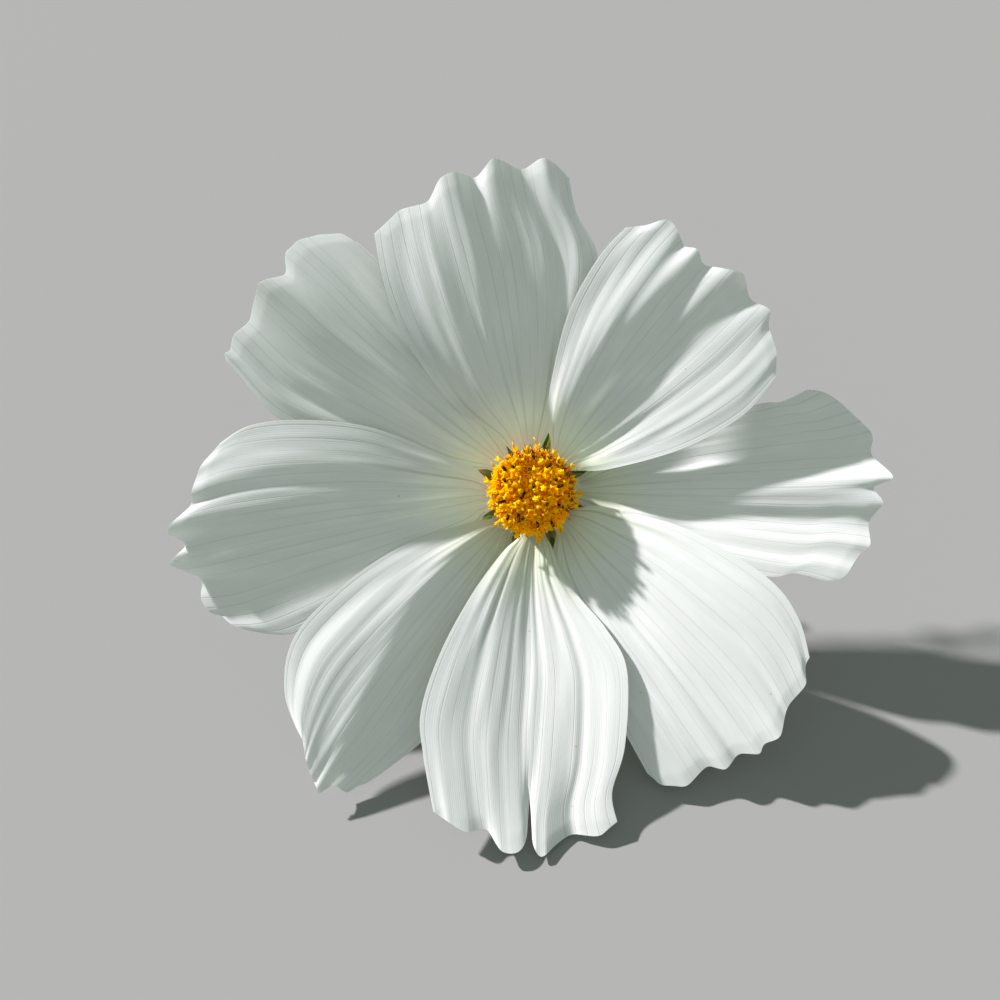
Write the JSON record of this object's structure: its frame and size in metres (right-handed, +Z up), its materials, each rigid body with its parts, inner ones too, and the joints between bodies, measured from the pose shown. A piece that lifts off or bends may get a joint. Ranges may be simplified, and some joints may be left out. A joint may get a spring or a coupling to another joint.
{
  "type": "cosmos flower",
  "caption": "Open white cosmos bloom with broad toothed petals round a golden-yellow disc, picked with a short curved stalk and laid face up; a small decorative flower.",
  "frame": {"origin": "middle of the flower's bounding box, on the surface it lies on", "axes": "+Z up from the surface, +Y along the lying stalk from the lowest petal to the stalk's cut end, +X to the right when the face is seen from the front; the face looks up and towards -Y"},
  "size_m": [0.0858, 0.0908, 0.0392],
  "materials": {
    "petal": "matte",
    "disc": "matte",
    "inner_bract": "matte",
    "outer_bract": "matte",
    "stalk": "satin"
  },
  "bodies": {
    "root": {"petal_n": "petal", "petal_ne": "petal", "petal_e": "petal", "petal_se": "petal", "petal_s": "petal", "petal_sw": "petal", "petal_w": "petal", "petal_nw": "petal", "disc_florets": "disc", "inner_bracts": "inner_bract", "outer_bracts": "outer_bract", "stem": "stalk"}
  },
  "joints": []
}
